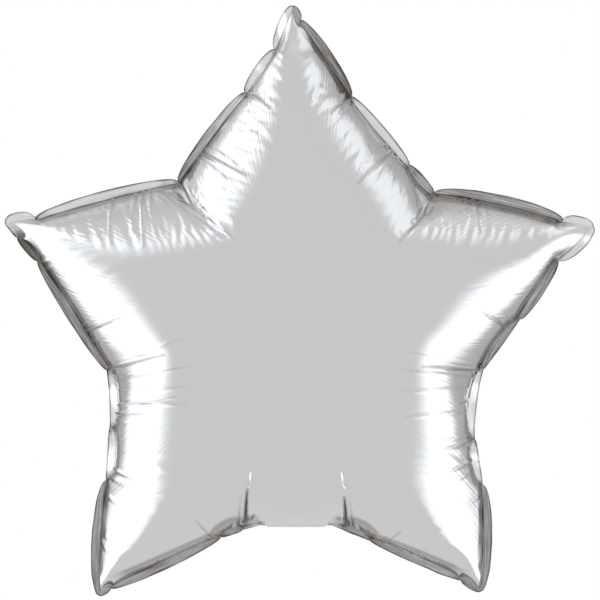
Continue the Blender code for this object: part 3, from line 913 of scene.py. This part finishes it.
def on_margin(reach):
    """Lift, slope of the margin at these distances out from the seam, station by station."""
    share = reach / widths[:, None]
    slope, curl = slopes[:, None], curls[:, None]
    return slope * reach + curl * share * reach, slope + 2 * curl * share


def numbered(grid):
    """The numbers of a grid's points, row by row."""
    return np.arange(grid.shape[0] * grid.shape[1]).reshape(grid.shape[:2])


def tube_faces(number):
    """Faces between the rows of a grid of point numbers, in which each row is a closed ring."""
    low, after = number[:-1], number[1:]
    return np.stack([low, np.roll(low, -1, 1), np.roll(after, -1, 1), after], -1).reshape(-1, 4)


def weld_body():
    """The margin as one closed ring with a bead at its cut edge."""
    flat = -WELD_OVERLAP + np.linspace(0, 1, FLAT_STEPS) * (widths[:, None] - BEAD_WIDTH + WELD_OVERLAP)
    reach = np.concatenate([flat, widths[:, None] - BEAD_WIDTH * np.array(BEAD_IN)], axis=1)
    half = np.array([WELD_HALF] * FLAT_STEPS + [BEAD_HALF * share for share in BEAD_THICK])
    lift, slope = on_margin(reach)
    tilt = np.sqrt(1 + slope * slope)
    rows = []
    for side in (-1, 1):
        out = reach - side * half * slope / tilt
        height = lift + side * half / tilt
        row = np.empty((*reach.shape, 3))
        row[..., 0] = seam_points[:, :1] + across[:, :1] * out
        row[..., 1] = height
        row[..., 2] = seam_points[:, 1:] + across[:, 1:] * out
        rows.append(row if side < 0 else row[:, ::-1])
    grid = np.concatenate(rows, axis=1)
    number = numbered(grid)
    faces = tube_faces(np.vstack([number, number[:1]]))
    run = np.repeat(around, number.shape[1])
    inwards = np.concatenate([reach, reach[:, ::-1]], axis=1).ravel()
    # Painted shade in the weld's colour: a dark line at the cut edge (rim) and a painted shadow line at the
    # inner edge (root), less of the latter at the tips.
    rim = np.exp(-(((widths[:, None] - reach) / EDGE_SHADE) ** 2))
    from_tip = np.linalg.norm(cut_points[:, None] - [CORNERS[tip] for tip in sorted(TIPS)], axis=2).min(1)
    root = INNER_DARKNESS * np.exp(-((np.clip(reach, 0, None) / INNER_SHADE) ** 2))
    off_tip = soft(from_tip, *INNER_SHADE_SPARES_TIP)[:, None]
    root *= INNER_SHADE_AT_TIP + (1 - INNER_SHADE_AT_TIP) * off_tip
    dark = weld_shade[:, None] + (EDGE_DARKNESS - weld_shade[:, None]) * np.maximum(rim, root) * ~at_foot[:, None]
    dark = np.concatenate([dark, dark[:, ::-1]], axis=1).ravel()
    return grid.reshape(-1, 3), faces, run, inwards, dark


def welded_piece(name, points, faces, run, inwards, dark):
    """A closed body with its distances along and out from the seam as a UV map."""
    mesh = bpy.data.meshes.new(name)
    mesh.from_pydata(points.tolist(), [], faces.tolist())
    shape = bmesh.new()
    shape.from_mesh(mesh)
    bmesh.ops.recalc_face_normals(shape, faces=shape.faces)
    shape.to_mesh(mesh)
    shape.free()
    mesh.shade_smooth()
    map_to_seam(mesh, np.stack([run, inwards], 1)[loop_points(mesh)])
    # The painted shade of the weld's colour; only the weld's material reads it.
    give(mesh, "weld_shade", dark)
    return placed(name, mesh)


# The weld's colour goes from pale to dark with its streaks and its painted shade.
WELD_PALE, WELD_DARK = (0.93, 0.93, 0.935), (0.095, 0.080, 0.070)
WELD_ROUGHNESS = (0.20, 0.36)
STREAK_SCALE, STREAK_CONTRAST, STREAK_SHIFT, STREAK_DEPTH = (38, 900, 1), 1.5, -0.80, 0.0001


def weld_finish():
    """Crimped weld: the metal layer is partly broken by the hot bar, in streaks along the seam. Its colour
    also has the margin's painted shade.
    """
    made, tree = new_material("welded_film")
    streaks = seam_noise(tree, STREAK_SCALE, 4)
    # The margin's painted shade darkens the streaked colour.
    shift = maths(tree, "ADD", read(tree, "weld_shade"), STREAK_SHIFT)
    dark = maths(tree, "MULTIPLY_ADD", streaks, STREAK_CONTRAST, shift, use_clamp=True)
    return finish(
        made,
        Metallic=1,
        Base_Color=mixed(tree, dark, WELD_PALE, WELD_DARK),
        Roughness=between(tree, streaks, *WELD_ROUGHNESS),
        Normal=bumped(tree, streaks, 0.5, STREAK_DEPTH),
    )


welded = weld_finish()
margin = welded_piece("weld_margin", *weld_body())
margin.data.materials.append(welded)
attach(margin, "envelope")
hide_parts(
    "margin_top_right", "margin_right_upper", "margin_right_lower", "margin_lower_right_outer",
    "margin_lower_right_bottom", "margin_lower_left_bottom", "margin_lower_left_outer",
    "margin_left_lower", "margin_left_upper", "margin_top_left", "neck_root",
)

# Seal ribs: the sealing bar is cross cut, so it leaves a fine row of ribs across the weld. One rib is
# set at every pitch along the middle of the weld, as long as the weld is wide there.

# Pitch, width and height of the ribs, and their length as a share of the weld's width.
RIB_SIZES = (0.0018, 0.0008, 0.0007, 0.78)
# The weld has ribs where its painted shade is above this, as long as on a weld that is at least this wide.
RIBS_ABOVE, LEAST_WELD = 0.35, 0.0012
RIB_DULL, RIB_BRIGHT, RIB_ROUGHNESS = (0.16, 0.145, 0.135), (0.62, 0.60, 0.58), 0.3
WEAR_SCALE = 130


def rib_finish():
    """Tops of the ribs: the same film as the weld, polished by handling."""
    made, tree = new_material("seal_ribs")
    wear = noise(tree, WEAR_SCALE, 2, add(tree, "ShaderNodeTexCoord", "Object", {}))
    colour = mixed(tree, wear, RIB_DULL, RIB_BRIGHT)
    return finish(made, Metallic=1, Base_Color=colour, Roughness=RIB_ROUGHNESS)


def rib_tree():
    """Geometry Nodes that set ribs along a path whose points know the weld's direction and width."""
    tree = bpy.data.node_groups.new("seal_ribs", "GeometryNodeTree")

    def socket(name, in_out, kind):
        return tree.interface.new_socket(name, in_out=in_out, socket_type="NodeSocket" + kind).identifier

    def known(name, kind):
        return add(tree, "GeometryNodeInputNamedAttribute", 0, {"Name": name}, data_type=kind)

    def turned(inputs, **settings):
        return add(tree, "FunctionNodeAlignRotationToVector", "Rotation", inputs, **settings)

    socket("Path", "INPUT", "Geometry")
    sizes = [socket(name, "INPUT", "Float") for name in ("Pitch", "Rib width", "Rib height", "Reach")]
    socket("Ribs", "OUTPUT", "Geometry")
    given, result = tree.nodes.new("NodeGroupInput").outputs, tree.nodes.new("NodeGroupOutput")
    curve = add(tree, "GeometryNodeMeshToCurve", "Curve", {"Mesh": given["Path"]})
    inputs = {"Curve": curve, "Length": given["Pitch"]}
    spaced = add(tree, "GeometryNodeResampleCurve", "Curve", inputs, mode="LENGTH")
    lying = turned({"Vector": known("across", "FLOAT_VECTOR")}, axis="Z")
    facing = turned({"Rotation": lying, "Vector": known("facing", "FLOAT_VECTOR")}, axis="X", pivot_axis="Z")
    length = maths(tree, "MULTIPLY", known("weld_width", "FLOAT"), given["Reach"])
    size = {"X": given["Rib height"], "Y": given["Rib width"], "Z": length}
    scale = add(tree, "ShaderNodeCombineXYZ", "Vector", size)
    rib = add(tree, "GeometryNodeMeshUVSphere", "Mesh", {"Segments": 6, "Rings": 4, "Radius": 0.5})
    inputs = {"Points": spaced, "Instance": rib, "Rotation": facing, "Scale": scale}
    ribs = add(tree, "GeometryNodeInstanceOnPoints", "Instances", inputs)
    real = add(tree, "GeometryNodeRealizeInstances", "Geometry", {"Geometry": ribs})
    inputs = {"Geometry": real, "Material": ribbed}
    feed(tree, result, {"Ribs": add(tree, "GeometryNodeSetMaterial", "Geometry", inputs)})
    return tree, sizes


def ribs_along(name, points, edges, sideways, facing, reach):
    """A row of ribs along the edges between these points, as a plain mesh."""
    path = bpy.data.meshes.new(name + "_path")
    path.from_pydata(points.tolist(), edges, [])
    give(path, "across", sideways, "FLOAT_VECTOR")
    give(path, "facing", facing, "FLOAT_VECTOR")
    give(path, "weld_width", reach)
    maker = placed(name + "_path", path)
    modifier = maker.modifiers.new("seal ribs", "NODES")
    modifier.node_group = rib_nodes
    for socket, value in zip(rib_sockets, RIB_SIZES):
        modifier[socket] = value
    mesh = bpy.data.meshes.new_from_object(maker.evaluated_get(bpy.context.evaluated_depsgraph_get()))
    mesh.name = name
    mesh.shade_smooth()
    bpy.data.objects.remove(maker)
    return placed(name, mesh)


ribbed = rib_finish()
rib_nodes, rib_sockets = rib_tree()
middle_lift, middle_slope = on_margin(widths[:, None] / 2)
middle = seam_points + across * widths[:, None] / 2
path_points = np.column_stack([middle[:, 0], middle_lift[:, 0], middle[:, 1]])
path_across = np.column_stack([across[:, 0], middle_slope[:, 0], across[:, 1]])
tilts = -across * middle_slope
path_facing = np.column_stack([tilts[:, 0], widths * 0 + 1, tilts[:, 1]])
# Ribs go where the weld's painted shade is above RIBS_ABOVE, and not at the foot.
ribbed_places = (weld_shade > RIBS_ABOVE) & ~at_foot
ring = [(i, (i + 1) % len(path_points)) for i in range(len(path_points))]
rib_edges = [(i, after) for i, after in ring if ribbed_places[i] and ribbed_places[after]]
rib_lengths = np.maximum(widths, LEAST_WELD)
seal_ribs = ribs_along("seal_ribs", path_points, rib_edges, path_across, path_facing, rib_lengths)
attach(seal_ribs, "envelope")

# The filling neck: a flat tube of the same film, welded down both sides, which leaves the star through
# its foot. It folds at the foot and lies tucked up behind; the open mouth shows the valve film.

NECK_WIDTH, NECK_STEP = 0.034, 0.002
NECK_FLARE, NECK_FLARE_LENGTH = 0.012, 0.016
# Its route from the fold on: length and turn (in degrees) of each stretch. It hangs from the weld down to
# the fold, which begins this far before distance 0 and turns through a right angle.
NECK_ROUTE = ((0.004, 0), (0.056, 38), (0.018, 0))
NECK_START, NECK_BEGINS, FOLD_BEGINS = FOOT_EDGE + 0.0006, -0.003, -0.0022
FOLD_HEIGHT, FOLD_RADIUS, FOLD_STEPS = -0.1575, 0.0013, 4
SIDE_WELD, NECK_WALL = 0.004, 0.00015
NECK_HALF_GAP, MOUTH_HALF_GAP, MOUTH_LENGTH = 0.00045, 0.0016, 0.014
# At the weld the plies lie closer together: the share of the gap there, and where and over what it opens.
WELD_GAP, OPENS_FROM, OPENS_OVER = 0.2, -0.0005, 0.008
NECK_ACROSS = 24
# Its ripples: their size, where and over what they grow, and the length and place of a twist; then a sag's
# size against the twist's, its length, and how much later it comes towards one side.
NECK_RIPPLE, RIPPLE_FROM, RIPPLE_OVER = 0.0005, 0.006, 0.02
TWIST_LENGTH, TWIST_PLACE, SAG_SIZE, SAG_LENGTH, SAG_SKEW = 0.023, 1.1, 0.7, 0.031, 2.4
# The ribs on its side welds begin here, at this share of the way to the neck's edge.
NECK_RIBS_FROM, NECK_RIBS_AT = 0.004, 0.9
NECK_DARKNESS = 0.2


def neck_line():
    """Distance from the fold, Y, Z and direction (radians up from +Y) along the neck's middle."""
    down = -math.pi / 2
    rows = [(NECK_BEGINS, 0.0, NECK_START, down), (FOLD_BEGINS, 0.0, FOLD_HEIGHT + FOLD_RADIUS, down)]
    for step in range(1, FOLD_STEPS + 1):
        turn = math.pi / 2 * step / FOLD_STEPS
        y, z = FOLD_RADIUS * (1 - math.cos(turn)), FOLD_HEIGHT + FOLD_RADIUS * (1 - math.sin(turn))
        rows.append((FOLD_BEGINS + FOLD_RADIUS * turn, y, z, turn + down))
    y, z, angle, distance = 0.0, FOLD_HEIGHT, 0.0, 0.0
    for length, turn in NECK_ROUTE:
        count = round(length / NECK_STEP)
        for _ in range(count):
            step = length / count
            mid = angle + math.radians(turn) / count / 2
            y, z = y + step * math.cos(mid), z + step * math.sin(mid)
            angle += math.radians(turn) / count
            distance += step
            rows.append((distance, y, z, angle))
    return np.array(rows)


neck_rows = neck_line()
neck_run = neck_rows[:, :1]
neck_length = neck_rows[-1, 0]
neck_distance = np.clip(neck_rows[:, 0], 0, None)
neck_half = (NECK_WIDTH + NECK_FLARE * np.clip(1 - neck_distance / NECK_FLARE_LENGTH, 0, 1) ** 2) / 2


def neck_surface(sideways, lift, rows=neck_rows):
    """Points of the neck at these distances sideways and up from its middle, row by row."""
    y, z, angle = rows[:, 1:2], rows[:, 2:3], rows[:, 3:4]
    return np.stack([sideways, y - np.sin(angle) * lift, z + np.cos(angle) * lift], -1)


def neck_wave(share):
    """How far the neck's middle surface ripples, at shares -1 to 1 across it."""
    grown = np.clip((neck_run - RIPPLE_FROM) / RIPPLE_OVER, 0, 1)
    twist = np.sin(2 * math.pi * neck_run / TWIST_LENGTH + TWIST_PLACE) * share
    sag = SAG_SIZE * np.sin(2 * math.pi * neck_run / SAG_LENGTH + SAG_SKEW * share)
    return grown * NECK_RIPPLE * (twist + sag)


def there_and_back(share):
    return np.concatenate([share[0], share[0][::-1]])


def neck_body():
    """The neck as a tube with a wall, open at both ends, and its welds down the sides."""
    share = np.sin(np.linspace(-math.pi / 2, math.pi / 2, NECK_ACROSS + 1))[None, :]
    open_share = np.clip((neck_run - (neck_length - MOUTH_LENGTH)) / MOUTH_LENGTH, 0, 1) ** 2
    off_weld = np.clip((neck_run - OPENS_FROM) / OPENS_OVER, 0, 1)
    gap = NECK_HALF_GAP + (MOUTH_HALF_GAP - NECK_HALF_GAP) * open_share
    gap = gap * (WELD_GAP + (1 - WELD_GAP) * off_weld)
    inner_half = neck_half[:, None] - SIDE_WELD
    wave = neck_wave(share)
    rings = []
    for half, wall in ((neck_half[:, None], NECK_WALL), (inner_half, 0)):
        sideways = half * share
        lift = gap * np.sqrt(np.clip(1 - (sideways / inner_half) ** 2, 0, 1)) + wall
        front, back = neck_surface(sideways, wave - lift), neck_surface(sideways, wave + lift)
        rings.append(np.concatenate([front, back[:, ::-1]], axis=1))
    number = numbered(rings[0])
    faces = [tube_faces(number), tube_faces(number + number.size)[:, ::-1]]
    for edge in (number[0], number[-1]):
        hole = edge + number.size
        faces.append(np.stack([edge, np.roll(edge, -1), np.roll(hole, -1), hole], -1))
    points = np.concatenate([ring.reshape(-1, 3) for ring in rings])
    run = np.tile(np.repeat(neck_rows[:, 0], number.shape[1]), 2)
    side = np.tile(there_and_back(share)[None, :] * neck_half[:, None], (2, 1, 1)).ravel()
    return points, np.vstack(faces), run, side, np.full(len(points), NECK_DARKNESS)


neck = welded_piece("neck_film", *neck_body())
neck.data.materials.append(silver)
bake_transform(neck)
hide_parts("neck_sleeve")

chosen = neck_distance > NECK_RIBS_FROM
angles = neck_rows[chosen, 3]
facing = np.column_stack([angles * 0, -np.sin(angles), np.cos(angles)])
for side, name in ((-1, "neck_ribs_left"), (1, "neck_ribs_right")):
    weld_middle = (side * (neck_half - SIDE_WELD / 2))[:, None]
    line = neck_surface(weld_middle, neck_wave(np.full((1, 1), side * NECK_RIBS_AT)))[chosen, 0]
    steps = [(i, i + 1) for i in range(len(line) - 1)]
    sideways = np.tile([float(side), 0, 0], (len(line), 1))
    ribs = ribs_along(name, line, steps, sideways, facing, np.full(len(line), SIDE_WELD))
    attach(ribs, "neck")

# The self-sealing valve: two strips of clear film laid in the neck and welded to it inside. Gas pressure
# shuts them flat. Their ends show just inside the mouth.

VALVE_START, VALVE_RECESS, VALVE_SIDE_GAP = 0.010, 0.004, 0.0015
VALVE_HALF = 0.00008
# Size, length and skew of its curl.
VALVE_CURL, CURL_RUN, CURL_SKEW = 0.0004, 0.012, 2.2
VALVE_ROWS, VALVE_ACROSS = 34, 19
CLEAR_COLOUR, CLEAR_ALPHA, CLEAR_ROUGHNESS = (0.86, 0.88, 0.9), 0.5, (0.1, 0.4)
DIE_LINES = (20, 60, 1)


def valve_body():
    """The valve's two strips as one thin body that curls a little."""
    marks = np.linspace(VALVE_START, neck_length - VALVE_RECESS, VALVE_ROWS)
    rows = np.column_stack([np.interp(marks, neck_rows[:, 0], column) for column in neck_rows.T])
    half = np.interp(marks, neck_rows[:, 0], neck_half) - SIDE_WELD - VALVE_SIDE_GAP
    share = np.linspace(-1, 1, VALVE_ACROSS)[None, :]
    curl = VALVE_CURL * np.sin(CURL_SKEW * share + marks[:, None] / CURL_RUN) * (1 - share**2)
    sideways = half[:, None] * share
    front, back = (neck_surface(sideways, curl + lift, rows) for lift in (-VALVE_HALF, VALVE_HALF))
    grid = np.concatenate([front, back[:, ::-1]], axis=1)
    number = numbered(grid)
    faces = [*tube_faces(number)]
    for line in (number[0], number[-1]):
        faces += [(line[i], line[i + 1], line[-2 - i], line[-1 - i]) for i in range(VALVE_ACROSS - 1)]
    run, side = np.repeat(marks, number.shape[1]), np.tile(there_and_back(share), VALVE_ROWS)
    return grid.reshape(-1, 3), np.array(faces), run, side, run * 0


def clear_finish():
    """Clear soft film, faintly milky, with fine die lines along it."""
    made, tree = new_material("valve_film")
    rough = between(tree, seam_noise(tree, DIE_LINES, 2), *CLEAR_ROUGHNESS)
    return finish(made, Base_Color=(*CLEAR_COLOUR, 1), Alpha=CLEAR_ALPHA, IOR=1.5, Roughness=rough)


valve = welded_piece("valve_film", *valve_body())
valve.data.materials.append(clear_finish())
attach(valve, "neck")
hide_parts("valve_strip")

# The studio: a pale floor well below the balloon, and a room of soft light. Two tall soft boxes stand to its
# left and right, weaker ones beside them, and the room is darker behind it, so that its edges show.
FLOOR_HEIGHT, FLOOR_RADIUS, FLOOR_SIDES = -1.1, 1.4, 96
FLOOR_COLOUR, FLOOR_ROUGHNESS = (0.925, 0.915, 0.905), 0.8

floor_shape = bmesh.new()
bmesh.ops.create_circle(floor_shape, cap_ends=True, segments=FLOOR_SIDES, radius=FLOOR_RADIUS)
bmesh.ops.translate(floor_shape, verts=floor_shape.verts, vec=(0, 0, FLOOR_HEIGHT))
floor_mesh = bpy.data.meshes.new("floor")
floor_shape.to_mesh(floor_mesh)
floor_shape.free()
floor_paint = finish(new_material("floor")[0], Base_Color=(*FLOOR_COLOUR, 1), Roughness=FLOOR_ROUGHNESS)
floor_mesh.materials.append(floor_paint)
floor = placed("floor", floor_mesh)

# Brightness of the room against the angle away from straight in front of the balloon, in degrees.
ROOM = (
    (0, (0.720, 0.720, 0.720)), (95, (0.705, 0.705, 0.705)), (118, (0.63, 0.627, 0.625)),
    (135, (0.50, 0.493, 0.487)), (155, (0.42, 0.408, 0.40)), (180, (0.33, 0.318, 0.31)),
)
# Soft boxes: where each begins and is full, then where it fades and ends. First the angle round from the
# right (+X) over the top, then the angle away from straight in front; then its strength, which is below
# zero for the two dark flags at the sides of the pale box under the foot.
BOXES = (
    ((118, 139, 218, 240), (60, 78, 122, 138), 0.75),
    ((304, 324, 350, 372), (61, 82, 110, 128), 0.78),
    ((6, 26, 50, 62), (76, 94, 113, 128), 0.42),
    ((56, 70, 84, 100), (92, 103, 110, 122), 0.12),
    ((98, 118, 158, 176), (118, 132, 146, 162), 0.22),
    ((260, 265, 275, 280), (104, 118, 166, 178), 0.28),
    ((230, 240, 253, 262), (100, 118, 168, 178), -0.22),
    ((276, 286, 298, 310), (100, 118, 168, 178), -0.22),
)
BOX_TINT = (0.90, 0.97, 1.05)
BACKDROP = (1, 1, 1)

world = bpy.data.worlds.new("studio")
bpy.context.scene.world = world
world.use_nodes = True
room = world.node_tree
room.nodes.clear()


def room_maths(operation, *values):
    return maths(room, operation, *values)


def soft_step(value, low, high):
    inputs = {"Value": value, "From Min": low, "From Max": high}
    return add(room, "ShaderNodeMapRange", "Result", inputs, interpolation_type="SMOOTHSTEP")


def soft_band(value, begin, full, fade, end):
    past = room_maths("SUBTRACT", 1.0, soft_step(value, fade, end))
    return room_maths("MULTIPLY", soft_step(value, begin, full), past)


parts = room.nodes.new("ShaderNodeSeparateXYZ")
feed(room, parts, {"Vector": add(room, "ShaderNodeTexCoord", "Generated", {})})
x, y, z = parts.outputs
away = room_maths("DEGREES", room_maths("ARCCOSINE", room_maths("MULTIPLY", y, -1.0)))
turn = room_maths("DEGREES", room_maths("ARCTAN2", z, x))
shade = room.nodes.new("ShaderNodeValToRGB")
feed(room, shade, {"Fac": room_maths("DIVIDE", away, 180.0)})
marks = shade.color_ramp.elements
for angle, _ in ROOM[1:-1]:
    marks.new(angle / 180)
for mark, (angle, colour) in zip(marks, ROOM):
    mark.position, mark.color = angle / 180, (*colour, 1)
glow = None
for side, height, strength in BOXES:
    past_start = room_maths("MODULO", room_maths("ADD", turn, 720.0 - side[0]), 360.0)
    full_turn = room_maths("ADD", past_start, side[0])
    patch = room_maths("MULTIPLY", soft_band(full_turn, *side), soft_band(away, *height))
    patch = room_maths("MULTIPLY", patch, strength)
    glow = patch if glow is None else room_maths("ADD", glow, patch)
channels = zip(("Red", "Green", "Blue"), BOX_TINT)
tints = {name: room_maths("MULTIPLY", glow, share) for name, share in channels}
inputs = {"Factor": 1, "A": shade.outputs["Color"], "B": add(room, "ShaderNodeCombineColor", "Color", tints)}
light = add(room, "ShaderNodeMix", "Result", inputs, data_type="RGBA", blend_type="ADD")
lamp = add(room, "ShaderNodeBackground", "Background", {"Color": light})
backdrop = add(room, "ShaderNodeBackground", "Background", {"Color": (*BACKDROP, 1)})
inputs = {"Fac": add(room, "ShaderNodeLightPath", "Is Camera Ray", {}), 1: lamp, 2: backdrop}
seen = add(room, "ShaderNodeMixShader", "Shader", inputs)
feed(room, room.nodes.new("ShaderNodeOutputWorld"), {"Surface": seen})
bpy.context.scene.view_settings.view_transform = "Standard"
